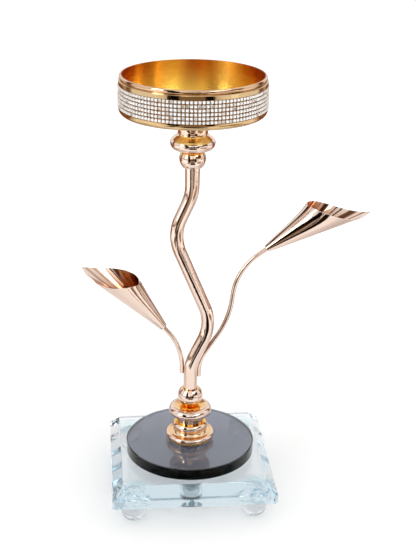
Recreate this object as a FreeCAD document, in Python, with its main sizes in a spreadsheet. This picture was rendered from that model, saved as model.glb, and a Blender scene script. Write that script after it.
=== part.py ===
import FreeCAD, Part
import math
import os

from FreeCAD import Vector
from Sketcher import Constraint

# A free-standing candle holder. A bevelled crystal block on four ball feet carries a smoked glass disc, a
# turned foot, a wavy tube with two wire branches that end in rolled calla flowers, and a pillar candle cup
# whose wall is dressed with a band of rhinestones. Millimetres, +Z up, the floor at z = 0.

DOC = FreeCAD.newDocument("CandleHolder")

# Driving dimensions: alias, millimetres (degrees or a count where the name says so).
DIMENSIONS = {
    # crystal block and its ball feet
    "foot_ball_radius": 10.0,
    "foot_ball_flat": 0.4,
    "foot_ball_inset": 17.0,
    "base_side": 130.0,
    "base_edge_height": 7.0,
    "base_bevel_drop": 9.0,
    "base_bevel_inset": 8.4,
    "base_corner_chamfer": 1.6,
    "glass_bore_radius": 4.5,
    "counterbore_radius": 9.0,
    "counterbore_depth": 9.0,
    # smoked disc
    "disc_radius": 52.0,
    "disc_thickness": 10.0,
    "disc_edge_chamfer": 0.7,
    # screws, washers and threaded plugs
    "bolt_radius": 3.0,
    "bolt_clearance": 0.2,
    "thread_clearance": 0.05,
    "bolt_head_radius": 6.0,
    "bolt_head_height": 3.6,
    "bolt_head_edge": 1.2,
    "bolt_socket_flats": 4.0,
    "bolt_socket_depth": 2.2,
    "bolt_engagement": 10.0,
    "washer_radius": 8.2,
    "washer_thickness": 1.2,
    "gasket_thickness": 0.5,
    "gasket_margin": 0.6,
    "plug_length": 13.0,
    "plug_clearance": 0.05,
    # turned foot
    "foot_bottom_radius": 13.0,
    "foot_widest_radius": 19.8,
    "foot_widest_height": 4.2,
    "foot_ring_width": 3.4,
    "foot_ring_rise": 1.84,
    "foot_dish_width": 3.8,
    "foot_dish_rise": 3.0,
    "foot_dome_height": 6.2,
    "foot_dome_bulge": 1.6,
    "foot_shoulder_inset": 1.9,
    "foot_shoulder_height": 1.96,
    # turned collar between foot and ball
    "collar_neck_radius": 10.8,
    "collar_neck_height": 2.2,
    "collar_ring_major": 13.2,
    "collar_ring_minor": 4.0,
    "collar_ring_height": 8.4,
    "collar_seat_radius": 8.2,
    "collar_dish_depth": 1.0,
    "collar_height": 12.3,
    # ball knobs at both ends of the tube
    "knob_radius": 10.0,
    "knob_seat_radius": 5.4,
    "knob_mouth_radius": 7.2,
    "socket_depth": 2.4,
    "socket_clearance": 0.1,
    # wavy tube
    "tube_end_radius": 5.6,
    "tube_waist_radius": 5.0,
    "tube_bore_radius": 4.3,
    "tube_bend_radius": 35.0,
    "tube_height": 190.5,
    "wave_foot_height": 23.4,
    "wave_low_height": 58.8,
    "wave_low_reach": 16.6,
    "wave_high_height": 133.6,
    "wave_high_reach": 14.75,
    "wave_top_height": 166.6,
    # wire branches, measured from the tube's axis and its lower end
    "wire_radius": 1.8,
    "braze_gap": 0.1,
    "left_root_height": 14.5,
    "left_root_back": 3.5,
    "left_bend_height": 37.6,
    "left_bend_radius": 50.0,
    "left_tip_reach": 26.2,
    "left_tip_height": 60.6,
    "right_root_height": 11.5,
    "right_root_back": 3.0,
    "right_low_height": 24.6,
    "right_low_radius": 30.0,
    "right_mid_reach": 30.6,
    "right_mid_height": 60.9,
    "right_mid_radius": 72.0,
    "right_high_reach": 35.9,
    "right_high_height": 103.4,
    "right_high_radius": 48.0,
    "right_tip_reach": 64.7,
    "right_tip_height": 124.1,
    # rolled calla flowers
    "calla_sheet": 0.5,
    "calla_throat_radius": 1.9,
    "calla_wire_insert": 7.0,
    "calla_lap_rise": 0.8,
    "sheet_tolerance": 0.01,
    "left_calla_short": 42.5,
    "left_calla_long": 79.0,
    "left_calla_spread": 8.2,
    "left_calla_flare": 0.5,
    "left_calla_tip_curl": 0.4,
    "right_calla_short": 45.0,
    "right_calla_long": 83.0,
    "right_calla_spread": 9.1,
    "right_calla_flare": 2.2,
    "right_calla_tip_curl": 0.8,
    # turned saucer and neck under the cup
    "saucer_seat_radius": 8.0,
    "saucer_radius": 17.0,
    "saucer_edge_height": 4.0,
    "saucer_lip_inset": 1.6,
    "saucer_slope_rise": 2.0,
    "saucer_height": 9.2,
    "neck_waist_radius": 11.2,
    "neck_waist_height": 2.6,
    "neck_foot_flare": 1.4,
    "neck_top_flare": 3.8,
    "neck_height": 14.1,
    # cup, hoop and stones
    "bowl_radius": 53.7,
    "bowl_wall": 1.2,
    "bowl_corner": 5.0,
    "rim_bead_height": 3.2,
    "rim_bead_bulge": 0.6,
    "rim_gap": 0.2,
    "bowl_dimple_radius": 12.0,
    "bowl_dimple_depth": 4.4,
    "cup_screw_head_radius": 5.5,
    "cup_screw_head_height": 2.6,
    "cup_screw_head_edge": 0.8,
    "hoop_clearance": 0.1,
    "hoop_wall": 0.3,
    "hoop_flange": 1.2,
    "hoop_lower_lip": 4.5,
    "hoop_lower_draw": 2.4,
    "hoop_bottom_land": 0.6,
    "hoop_upper_lip": 3.4,
    "hoop_lip_round": 0.6,
    "stone_pitch": 2.88,
    "mesh_thickness": 0.3,
    "mesh_clearance": 0.05,
    "stone_girdle": 2.4,
    "stone_table": 1.2,
    "stone_height": 0.9,
    "stone_seat_gap": 0.05,
    # one overrun for every cut
    "overrun": 2.0,
}

STONE_ROWS = 6
# Shares of the bowl's corner and of the hoop's lower lip that the hoop's inner bevel and outer curve rise over.
HOOP_SEAT_SHARE = 0.5
HOOP_DRAW_SHARE = 0.8
STONE_COLUMNS = 120
CALLA_LAP_SHARE = 0.07
CALLA_MOUTH_POWER = 1.6
CALLA_TIP_POWER = 1.6
CALLA_SIZES = ("spread", "short", "long", "flare", "tip_curl")
CALLA_HALF_COLUMNS = 14
CALLA_RINGS = 8
LEFT_CALLA_ROLL_DEG = -18.0
LEFT_CALLA_DROOP_DEG = -0.8
RIGHT_CALLA_ROLL_DEG = 0.0
RIGHT_CALLA_DROOP_DEG = 3.0

SHEET = DOC.addObject("Spreadsheet::Sheet", "Dims")
for row, (alias, number) in enumerate(DIMENSIONS.items(), start=1):
    SHEET.set(f"A{row}", alias)
    SHEET.set(f"B{row}", str(number))
    SHEET.setAlias(f"B{row}", alias)
DOC.recompute()


class Size:
    """A length that knows its number and the spreadsheet expression it comes from."""

    def __init__(self, number, text):
        self.number = number
        self.text = text

    @staticmethod
    def of(other):
        return other if isinstance(other, Size) else Size(other, repr(other))

    def __add__(self, other):
        other = Size.of(other)
        return Size(self.number + other.number, f"({self.text} + {other.text})")

    def __sub__(self, other):
        other = Size.of(other)
        return Size(self.number - other.number, f"({self.text} - {other.text})")

    def __mul__(self, other):
        other = Size.of(other)
        return Size(self.number * other.number, f"({self.text} * {other.text})")

    def __truediv__(self, other):
        other = Size.of(other)
        return Size(self.number / other.number, f"({self.text} / {other.text})")

    def __neg__(self):
        return Size(-self.number, f"(0 - {self.text})")


def dim(alias):
    """A driving dimension by its alias."""
    return Size(SHEET.get(alias), f"Dims.{alias}")


def root_of(size):
    return Size(math.sqrt(size.number), f"sqrt({size.text})")


def other_leg(hypotenuse, leg):
    """The second leg of a right-angled triangle."""
    return root_of(hypotenuse * hypotenuse - leg * leg)


def bow_radius(chord, bulge):
    """The radius of an arc over a chord that it bulges out from by that much at its middle."""
    half = chord / 2
    return (half * half + bulge * bulge) / (bulge * 2)


def arc_radius(run, rise):
    """The radius of an arc that starts along one axis and ends a run and a rise away."""
    return (run * run + rise * rise) / (run * 2)


ZERO = Size(0.0, "0")
OVERRUN = dim("overrun")
PIECES = []


def piece(thing, label):
    """Names a finished sub-part; its label becomes its file's name."""
    thing.Label = label
    PIECES.append(thing)
    return thing


def bind(thing, prop, size):
    thing.setExpression(prop, Size.of(size).text)


def place(thing, x=ZERO, y=ZERO, z=ZERO):
    for axis, size in (("x", x), ("y", y), ("z", z)):
        if size.number or size.text != "0":
            bind(thing, f"Placement.Base.{axis}", size)


def plane_of(body, role):
    return next(f for f in body.Origin.OriginFeatures if f.Role == role)


def new_body(name):
    return DOC.addObject("PartDesign::Body", name)


def new_sketch(body, name, role):
    sketch = body.newObject("Sketcher::SketchObject", name)
    sketch.AttachmentSupport = [(plane_of(body, role), "")]
    sketch.MapMode = "FlatFace"
    return sketch


def pin_point(sketch, geometry, end, x, y):
    """Fixes one end of an edge at (x, y) from the sketch's origin, each bound to its expression."""
    for kind, size in (("DistanceX", x), ("DistanceY", y)):
        if size.number >= 0:
            index = sketch.addConstraint(Constraint(kind, -1, 1, geometry, end, size.number))
            bind(sketch, f"Constraints[{index}]", size)
        else:
            index = sketch.addConstraint(Constraint(kind, geometry, end, -1, 1, -size.number))
            bind(sketch, f"Constraints[{index}]", -size)


def pin_radius(sketch, geometry, radius):
    index = sketch.addConstraint(Constraint("Radius", geometry, radius.number))
    bind(sketch, f"Constraints[{index}]", radius)


def arc_between(start, end, radius, side):
    """The arc from start to end with that radius, its centre on the left or right of the way it runs."""
    chord = end - start
    across = Vector(-chord.y, chord.x, 0).normalize() * (1 if side == "left" else -1)
    sagitta = radius - math.sqrt(max(radius ** 2 - chord.Length ** 2 / 4, 0))
    return Part.Arc(start, (start + end) * 0.5 - across * sagitta, end)


def outline(sketch, corners):
    """Draws a closed outline. Each corner is (x, y) or (x, y, radius, side): with a radius, the edge that
    leaves it is an arc whose centre lies to the left or right of the way it runs."""
    count = len(corners)
    points = [Vector(c[0].number, c[1].number, 0) for c in corners]
    for i, corner in enumerate(corners):
        start, end = points[i], points[(i + 1) % count]
        if len(corner) == 2:
            index = sketch.addGeometry(Part.LineSegment(start, end), False)
            first = 1
        else:
            radius, side = corner[2:]
            index = sketch.addGeometry(arc_between(start, end, radius.number, side), False)
            first = 1 if side == "left" else 2
        if i:
            sketch.addConstraint(Constraint("Coincident", last[0], last[1], index, first))
        else:
            opening = (index, first)
        last = (index, 3 - first)
        pin_point(sketch, index, first, corner[0], corner[1])
        if len(corner) > 2:
            pin_radius(sketch, index, corner[2])
    sketch.addConstraint(Constraint("Coincident", last[0], last[1], opening[0], opening[1]))


def turned(name, corners):
    """A body revolved about Z from an outline of (radius, height) corners."""
    body = new_body(name)
    sketch = new_sketch(body, f"{name}_outline", "XZ_Plane")
    outline(sketch, corners)
    spin = body.newObject("PartDesign::Revolution", f"{name}_spin")
    spin.Profile = sketch
    spin.ReferenceAxis = (sketch, ["V_Axis"])
    spin.Angle = 360.0
    return body


# Heights of the stack, from the floor up.
BASE_BOTTOM = dim("foot_ball_radius") * 2 - dim("foot_ball_flat")
BASE_WALL_TOP = BASE_BOTTOM + dim("base_edge_height")
BASE_TOP = BASE_WALL_TOP + dim("base_bevel_drop")
DISC_TOP = BASE_TOP + dim("disc_thickness")
FOOT_BOTTOM = DISC_TOP + dim("gasket_thickness")
FOOT_RING_HEIGHT = dim("foot_widest_height") + dim("foot_ring_rise") + dim("foot_dish_rise")
FOOT_HEIGHT = FOOT_RING_HEIGHT + dim("foot_dome_height") + dim("foot_shoulder_height")
COLLAR_BOTTOM = FOOT_BOTTOM + FOOT_HEIGHT
LOW_KNOB_BOTTOM = COLLAR_BOTTOM + dim("collar_height")
KNOB_DROP = other_leg(dim("knob_radius"), dim("knob_seat_radius"))
KNOB_RISE = other_leg(dim("knob_radius"), dim("knob_mouth_radius"))
LOW_KNOB_CENTRE = LOW_KNOB_BOTTOM + KNOB_DROP
TUBE_BOTTOM = LOW_KNOB_CENTRE + KNOB_RISE - dim("socket_depth")
TUBE_TOP = TUBE_BOTTOM + dim("tube_height")
HIGH_KNOB_CENTRE = TUBE_TOP - dim("socket_depth") + KNOB_RISE
SAUCER_BOTTOM = HIGH_KNOB_CENTRE + KNOB_DROP
NECK_BOTTOM = SAUCER_BOTTOM + dim("saucer_height")
BOWL_BOTTOM = NECK_BOTTOM + dim("neck_height")
HOOP_BOTTOM = BOWL_BOTTOM + dim("bowl_dimple_depth") - dim("bowl_wall")
STONE_BOTTOM = HOOP_BOTTOM + dim("hoop_lower_lip")
STONE_BAND = dim("stone_pitch") * STONE_ROWS
HOOP_HEIGHT = dim("hoop_lower_lip") + STONE_BAND + dim("hoop_upper_lip")
BORE = dim("bolt_radius") + dim("bolt_clearance")


def crystal_base():
    """The square block: a low upright wall, then four bevels up to the flat top. A bore with a wide
    counterbore from below takes the clamp screw."""
    body = new_body("crystal_base")
    half = dim("base_side") / 2
    sketch = new_sketch(body, "base_wall_outline", "XY_Plane")
    cut = dim("base_corner_chamfer")
    inner = half - cut
    octagon = [(half, -inner), (half, inner), (inner, half), (-inner, half),
               (-half, inner), (-half, -inner), (-inner, -half), (inner, -half)]
    outline(sketch, octagon)
    wall = body.newObject("PartDesign::Pad", "base_wall")
    wall.Profile = sketch
    bind(wall, "Length", dim("base_edge_height"))
    foot_of_bevel = new_sketch(body, "bevel_foot_outline", "XY_Plane")
    outline(foot_of_bevel, octagon)
    bind(foot_of_bevel, "AttachmentOffset.Base.z", dim("base_edge_height"))
    head_of_bevel = new_sketch(body, "bevel_head_outline", "XY_Plane")
    top = half - dim("base_bevel_inset")
    top_inner = top - cut
    outline(head_of_bevel, [(top, -top_inner), (top, top_inner), (top_inner, top), (-top_inner, top),
                            (-top, top_inner), (-top, -top_inner), (-top_inner, -top), (top_inner, -top)])
    bind(head_of_bevel, "AttachmentOffset.Base.z", dim("base_edge_height") + dim("base_bevel_drop"))
    bevel = body.newObject("PartDesign::AdditiveLoft", "base_bevel")
    bevel.Profile = foot_of_bevel
    bevel.Sections = [head_of_bevel]
    bevel.Ruled = True
    drill(body, "base_bore", dim("glass_bore_radius"), -OVERRUN, BASE_TOP - BASE_BOTTOM + OVERRUN * 2)
    drill(body, "base_counterbore", dim("counterbore_radius"), -OVERRUN, dim("counterbore_depth") + OVERRUN)
    place(body, z=BASE_BOTTOM)
    return piece(body, "crystal_base")


def drill(body, name, radius, start, length):
    """A straight hole along Z from a start height, for a length."""
    hole = body.newObject("PartDesign::SubtractiveCylinder", name)
    hole.AttachmentSupport = [(plane_of(body, "XY_Plane"), "")]
    hole.MapMode = "FlatFace"
    bind(hole, "Radius", radius)
    bind(hole, "Height", length)
    bind(hole, "AttachmentOffset.Base.z", start)
    return hole


def ball_feet():
    """Four glass balls, each with a small ground flat on top where it is glued under the block."""
    reach = dim("base_side") / 2 - dim("foot_ball_inset")
    radius = dim("foot_ball_radius")
    crown = (radius - dim("foot_ball_flat")) / radius
    for depth, y in (("front", -reach), ("rear", reach)):
        for side, x in (("left", -reach), ("right", reach)):
            ball = DOC.addObject("Part::Sphere", f"ball_foot_{depth}_{side}")
            bind(ball, "Radius", radius)
            ball.setExpression("Angle2", f"asin({crown.text})")
            place(ball, x, y, radius)
            piece(ball, f"ball_foot_{depth}_{side}")


def smoked_disc():
    radius, thick, edge = dim("disc_radius"), dim("disc_thickness"), dim("disc_edge_chamfer")
    bore = dim("glass_bore_radius")
    body = turned("smoked_disc", [
        (bore, ZERO), (radius - edge, ZERO), (radius, edge), (radius, thick - edge),
        (radius - edge, thick), (bore, thick)])
    place(body, z=BASE_TOP)
    return piece(body, "smoked_disc")


def flat_ring(name, inner, outer, thick, bottom):
    body = turned(name, [(inner, ZERO), (outer, ZERO), (outer, thick), (inner, thick)])
    place(body, z=bottom)
    return piece(body, name)


def clamp_hardware():
    """The long socket screw that pulls block, disc, foot, collar and knob up against the tube's lower plug,
    with its washer and the gaskets that keep metal off the glass."""
    shoulder = BASE_BOTTOM + dim("counterbore_depth")
    gasket = dim("gasket_thickness")
    washer_bottom = shoulder - gasket - dim("washer_thickness")
    flat_ring("base_gasket", BORE, dim("washer_radius") + dim("gasket_margin") / 2, gasket, shoulder - gasket)
    flat_ring("clamp_washer", BORE, dim("washer_radius"), dim("washer_thickness"), washer_bottom)
    head = dim("bolt_head_height")
    length = TUBE_BOTTOM + dim("bolt_engagement") - washer_bottom
    bottom = washer_bottom - head
    socket_screw("clamp_screw", dim("bolt_head_radius"), head, dim("bolt_head_edge"), length, bottom)
    flat_ring("foot_gasket", BORE, dim("foot_bottom_radius") - dim("gasket_margin"), gasket, DISC_TOP)


def socket_screw(name, head_radius, head, edge, length, bottom):
    """A screw standing on its rounded head, with a hexagon socket in the head's face."""
    shank = dim("bolt_radius")
    body = turned(name, [
        (ZERO, ZERO), (head_radius - edge, ZERO, edge, "left"), (head_radius, edge), (head_radius, head),
        (shank, head), (shank, head + length), (ZERO, head + length)])
    socket = new_sketch(body, f"{name}_socket_outline", "XY_Plane")
    across = dim("bolt_socket_flats") / 2
    corner = across / root_of(Size.of(3.0)) * 2
    outline(socket, [(corner, ZERO), (corner / 2, across), (-corner / 2, across),
                     (-corner, ZERO), (-corner / 2, -across), (corner / 2, -across)])
    DOC.recompute()
    pocket = body.newObject("PartDesign::Pocket", f"{name}_socket")
    pocket.Profile = socket
    pocket.Reversed = True
    bind(pocket, "Length", dim("bolt_socket_depth"))
    place(body, z=bottom)
    return piece(body, name)


def turned_foot():
    """A wide rounded ring, dished inside, with a small dome that stands in the dish."""
    bottom, widest, low = dim("foot_bottom_radius"), dim("foot_widest_radius"), dim("foot_widest_height")
    under = arc_radius(widest - bottom, low)
    ring_width, ring_rise = dim("foot_ring_width"), dim("foot_ring_rise")
    ring = arc_radius(ring_width, ring_rise)
    dish_edge, dish_height = widest - ring_width, low + ring_rise
    dish_width, dish_rise = dim("foot_dish_width"), dim("foot_dish_rise")
    dish = arc_radius(dish_width, dish_rise)
    wall, dome_bottom = dish_edge - dish_width, dish_height + dish_rise
    dome = bow_radius(dim("foot_dome_height"), dim("foot_dome_bulge"))
    dome_top = dome_bottom + dim("foot_dome_height")
    shoulder = wall - dim("foot_shoulder_inset")
    body = turned("turned_foot", [
        (BORE, ZERO), (bottom, ZERO, under, "left"), (widest, low, ring, "left"),
        (dish_edge, dish_height, dish, "right"), (wall, dome_bottom, dome, "left"), (wall, dome_top),
        (shoulder, dome_top), (shoulder, FOOT_HEIGHT), (BORE, FOOT_HEIGHT)])
    place(body, z=FOOT_BOTTOM)
    return piece(body, "turned_foot")


def turned_collar():
    """A hollowed neck below a round ring, dished on top round the knob's seat."""
    neck, top = dim("collar_neck_radius"), dim("collar_height")
    major, minor, middle = dim("collar_ring_major"), dim("collar_ring_minor"), dim("collar_ring_height")
    seat, dish = dim("collar_seat_radius"), dim("collar_dish_depth")
    low = middle - minor
    body = turned("turned_collar", [
        (BORE, ZERO), (neck, ZERO), (neck, dim("collar_neck_height")), (major, low, minor, "left"),
        (major + minor, middle, minor, "left"), (major, middle + minor), (seat, middle + minor - dish),
        (seat, top), (BORE, top)])
    place(body, z=COLLAR_BOTTOM)
    return piece(body, "turned_collar")


def ball_knob(label, centre, upright):
    """A ball with a flat seat at one end and a socket for the tube at the other."""
    radius = dim("knob_radius")
    seat, mouth = dim("knob_seat_radius"), dim("knob_mouth_radius")
    sphere = DOC.addObject("Part::Sphere", f"{label}_ball")
    bind(sphere, "Radius", radius)
    low, high = (seat, mouth) if upright else (mouth, seat)
    sphere.setExpression("Angle1", f"-acos({(low / radius).text})")
    sphere.setExpression("Angle2", f"acos({(high / radius).text})")
    bore = DOC.addObject("Part::Cylinder", f"{label}_bore")
    bind(bore, "Radius", BORE)
    bind(bore, "Height", (radius + OVERRUN) * 2)
    place(bore, z=-(radius + OVERRUN))
    socket = DOC.addObject("Part::Cylinder", f"{label}_socket")
    bind(socket, "Radius", dim("tube_end_radius") + dim("socket_clearance"))
    bind(socket, "Height", dim("socket_depth") + OVERRUN)
    start = KNOB_RISE - dim("socket_depth")
    place(socket, z=start if upright else -(start + dim("socket_depth") + OVERRUN))
    drilled = DOC.addObject("Part::Cut", f"{label}_drilled")
    drilled.Base, drilled.Tool = sphere, bore
    knob = DOC.addObject("Part::Cut", label)
    knob.Base, knob.Tool = drilled, socket
    place(knob, z=centre)
    return piece(knob, label)


def fillet_path(sketch, corners, radii):
    """An open path of straight runs joined by tangent arcs: corners are (x, y) and each inner corner has a
    bend radius. The corners stay as construction points, so the path follows them."""
    points = [Vector(x.number, y.number, 0) for x, y in corners]
    runs = len(points) - 1
    tangents = []
    for i, radius in enumerate(radii, start=1):
        before = (points[i - 1] - points[i]).normalize()
        after = (points[i + 1] - points[i]).normalize()
        half = before.getAngle(after) / 2
        reach = radius.number / math.tan(half)
        bisector = (before + after).normalize()
        centre = points[i] + bisector * (radius.number / math.sin(half))
        middle = centre - bisector * radius.number
        tangents.append((points[i] + before * reach, middle, points[i] + after * reach))
    lines, arcs = [], []
    for i in range(runs):
        start = points[0] if i == 0 else tangents[i - 1][2]
        end = points[-1] if i == runs - 1 else tangents[i][0]
        lines.append(sketch.addGeometry(Part.LineSegment(start, end), False))
        if i < runs - 1:
            arcs.append(sketch.addGeometry(Part.Arc(*tangents[i]), False))
    for i, (arc, radius) in enumerate(zip(arcs, radii)):
        start = tangents[i][0]
        ends = sorted((1, 2), key=lambda end: (sketch.getPoint(arc, end) - start).Length)
        sketch.addConstraint(Constraint("Tangent", lines[i], 2, arc, ends[0]))
        sketch.addConstraint(Constraint("Tangent", arc, ends[1], lines[i + 1], 1))
        pin_radius(sketch, arc, radius)
        corner = sketch.addGeometry(Part.Point(points[i + 1]), True)
        sketch.addConstraint(Constraint("PointOnObject", corner, 1, lines[i]))
        sketch.addConstraint(Constraint("PointOnObject", corner, 1, lines[i + 1]))
        pin_point(sketch, corner, 1, *corners[i + 1])
    pin_point(sketch, lines[0], 1, *corners[0])
    pin_point(sketch, lines[-1], 2, *corners[-1])


def round_section(body, name, radius, x=ZERO, y=ZERO, z=ZERO):
    """A circle square to Z, for a pipe to carry."""
    sketch = new_sketch(body, name, "XY_Plane")
    centre = Vector(x.number, y.number, 0)
    circle = sketch.addGeometry(Part.Circle(centre, Vector(0, 0, 1), radius.number), False)
    pin_point(sketch, circle, 3, x, y)
    pin_radius(sketch, circle, radius)
    bind(sketch, "AttachmentOffset.Base.z", z)
    return sketch


def wavy_tube():
    """The bent tube: upright at both ends, one swing to the right and one to the left, all on one bending
    radius, drawn slimmer towards its middle, with a bore at each end for its threaded plug."""
    body = new_body("wavy_tube")
    path = new_sketch(body, "tube_path", "XZ_Plane")
    bend, tall = dim("tube_bend_radius"), dim("tube_height")
    right, right_height = dim("wave_low_reach"), dim("wave_low_height")
    left, left_height = dim("wave_high_reach"), dim("wave_high_height")
    fillet_path(path, [
        (ZERO, ZERO), (ZERO, dim("wave_foot_height")), (right, right_height), (-left, left_height),
        (ZERO, dim("wave_top_height")), (ZERO, tall)], [bend] * 4)
    low = round_section(body, "tube_low_section", dim("tube_end_radius"))
    waist = round_section(body, "tube_waist_section", dim("tube_waist_radius"))
    lean = -(right + left) / (left_height - right_height)
    waist.AttachmentOffset = FreeCAD.Placement(
        Vector(), FreeCAD.Rotation(Vector(0, 1, 0), math.degrees(math.atan(lean.number))))
    waist.setExpression("AttachmentOffset.Rotation.Angle", f"atan({lean.text})")
    bind(waist, "AttachmentOffset.Base.x", (right - left) / 2)
    bind(waist, "AttachmentOffset.Base.z", (right_height + left_height) / 2)
    high = round_section(body, "tube_high_section", dim("tube_end_radius"), z=tall)
    pipe = body.newObject("PartDesign::AdditivePipe", "tube_pipe")
    pipe.Profile = low
    pipe.Spine = path
    pipe.Transformation = "Multisection"
    pipe.Sections = [waist, high]
    depth = dim("plug_length")
    drill(body, "tube_low_bore", dim("tube_bore_radius"), -OVERRUN, depth + OVERRUN)
    drill(body, "tube_high_bore", dim("tube_bore_radius"), tall - depth, depth + OVERRUN)
    place(body, z=TUBE_BOTTOM)
    return piece(body, "wavy_tube")


def tube_plug(label, bottom):
    """A threaded plug brazed into the tube's end."""
    outer = dim("tube_bore_radius") - dim("plug_clearance")
    inner = dim("bolt_radius") + dim("thread_clearance")
    return flat_ring(label, inner, outer, dim("plug_length"), bottom)


def wire_branch(label, corners, radii, back):
    """A round wire that leaves the tube upright and follows runs and bends in a plane behind its axis."""
    body = new_body(label)
    path = new_sketch(body, f"{label}_path", "XZ_Plane")
    fillet_path(path, corners, radii)
    section = round_section(body, f"{label}_section", dim("wire_radius"), corners[0][0], ZERO, corners[0][1])
    pipe = body.newObject("PartDesign::AdditivePipe", f"{label}_pipe")
    pipe.Profile = section
    pipe.Spine = path
    place(body, y=back, z=TUBE_BOTTOM)
    return piece(body, label)


def root_reach(back):
    """How far to the side a wire's root stands, brazed against the tube that far behind its axis."""
    gap = dim("tube_end_radius") + dim("wire_radius") + dim("braze_gap")
    return other_leg(gap, back)


LEFT_BACK, RIGHT_BACK = dim("left_root_back"), dim("right_root_back")
LEFT_ROOT, RIGHT_ROOT = root_reach(LEFT_BACK), root_reach(RIGHT_BACK)
LEFT_CORNERS = [
    (-LEFT_ROOT, dim("left_root_height")), (-LEFT_ROOT, dim("left_bend_height")),
    (-dim("left_tip_reach"), dim("left_tip_height"))]
RIGHT_CORNERS = [
    (RIGHT_ROOT, dim("right_root_height")), (RIGHT_ROOT, dim("right_low_height")),
    (dim("right_mid_reach"), dim("right_mid_height")), (dim("right_high_reach"), dim("right_high_height")),
    (dim("right_tip_reach"), dim("right_tip_height"))]


def calla_sheet(spread, short, long, flare, curl):
    """The rolled sheet as a surface about +Z, throat at the origin. Round the axis the angle runs a little
    over a full turn, so that one edge laps over the other. Along the axis each line runs from the throat to
    the lip, which is short at the lap and drawn out to a pointed tip on the far side."""
    throat, lap = dim("calla_throat_radius").number, dim("calla_lap_rise").number
    columns = []
    for column in range(-CALLA_HALF_COLUMNS, CALLA_HALF_COLUMNS + 1):
        share = column / CALLA_HALF_COLUMNS
        angle = math.copysign(abs(share) ** CALLA_TIP_POWER, share) * math.pi * (1 + CALLA_LAP_SHARE)
        tip = max(1 - abs(angle) / math.pi, 0) ** CALLA_MOUTH_POWER
        points = []
        for ring in range(CALLA_RINGS + 1):
            along = ring / CALLA_RINGS
            height = along * (short + (long - short) * tip)
            radius = throat + lap * (share + 1) / 2 + spread * height / short
            radius += flare * along ** 6 * (1 - tip) - curl * tip ** 3 * along ** 4
            points.append(Vector(radius * math.sin(angle), -radius * math.cos(angle), height))
        columns.append(points)
    surface = Part.BSplineSurface()
    surface.interpolate(columns)
    return surface.toShape()


def calla_flower(side, corners, back, roll_deg, droop_deg):
    """A calla rolled from one sheet, pushed over the end of its wire and brazed there."""
    label = f"{side}_calla"
    skin = calla_sheet(*(dim(f"{label}_{name}").number for name in CALLA_SIZES))
    flower = DOC.addObject("Part::Feature", label)
    flower.Shape = skin.makeOffsetShape(dim("calla_sheet").number, dim("sheet_tolerance").number, fill=True)
    (before_x, before_z), (end_x, end_z) = corners[-2:]
    axis = Vector((end_x - before_x).number, 0, (end_z - before_z).number).normalize()
    end = Vector(end_x.number, back.number, (TUBE_BOTTOM + end_z).number)
    across = Vector(0, math.copysign(1, axis.x), 0)
    lean = FreeCAD.Rotation(across, axis.cross(across), axis, "ZXY")
    bent = lean.multiply(FreeCAD.Rotation(Vector(1, 0, 0), droop_deg))
    turned_in = bent.multiply(FreeCAD.Rotation(Vector(0, 0, 1), roll_deg))
    flower.Placement = FreeCAD.Placement(end - axis * dim("calla_wire_insert").number, turned_in)
    return piece(flower, label)


def saucer():
    """The turned saucer under the cup: a rounded edge, then a hollow slope up to the neck."""
    seat, radius, edge = dim("saucer_seat_radius"), dim("saucer_radius"), dim("saucer_edge_height")
    lip, top = radius - dim("saucer_lip_inset"), dim("saucer_height")
    lip_height = top - dim("saucer_slope_rise")
    neck = dim("neck_waist_radius") + dim("neck_foot_flare")
    under = arc_radius(radius - seat, edge)
    over = arc_radius(radius - lip, lip_height - edge)
    body = turned("saucer", [
        (BORE, ZERO), (seat, ZERO, under, "left"), (radius, edge, over, "left"), (lip, lip_height),
        (neck, top), (BORE, top)])
    place(body, z=SAUCER_BOTTOM)
    return piece(body, "saucer")


def cup_neck():
    """A spool with a low hollow waist that carries the cup."""
    waist = dim("neck_waist_radius")
    low, high = waist + dim("neck_foot_flare"), waist + dim("neck_top_flare")
    middle, top = dim("neck_waist_height"), dim("neck_height")
    low_arc = arc_radius(low - waist, middle)
    high_arc = arc_radius(high - waist, top - middle)
    body = turned("cup_neck", [
        (BORE, ZERO), (low, ZERO, low_arc, "right"), (waist, middle, high_arc, "right"), (high, top),
        (BORE, top)])
    place(body, z=NECK_BOTTOM)
    return piece(body, "cup_neck")


def cup_bowl():
    """The spun bowl: an upright wall with a beaded rim, a rounded corner and a floor with a dimple that hides
    the screw. The wall is as tall as the hoop that it carries under the bead."""
    outer, wall, corner = dim("bowl_radius"), dim("bowl_wall"), dim("bowl_corner")
    bead = bow_radius(dim("rim_bead_height"), dim("rim_bead_bulge"))
    floor, well = dim("bowl_dimple_depth"), dim("bowl_dimple_radius")
    bead_bottom = floor - wall + HOOP_HEIGHT + dim("rim_gap")
    tall = bead_bottom + dim("rim_bead_height")
    body = turned("cup_bowl", [
        (BORE, ZERO), (well, ZERO), (well, floor - wall), (outer - corner, floor - wall, corner, "left"),
        (outer, floor - wall + corner), (outer, bead_bottom, bead, "left"), (outer, tall), (outer - wall, tall),
        (outer - wall, floor - wall + corner, corner - wall, "right"), (outer - corner, floor),
        (well - wall, floor), (well - wall, wall), (BORE, wall)])
    place(body, z=BOWL_BOTTOM)
    return piece(body, "cup_bowl")


HOOP_INNER = dim("bowl_radius") + dim("hoop_clearance")
HOOP_CHANNEL = HOOP_INNER + dim("hoop_wall")
MESH_INNER = HOOP_CHANNEL + dim("mesh_clearance")
MESH_OUTER = MESH_INNER + dim("mesh_thickness")


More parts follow.
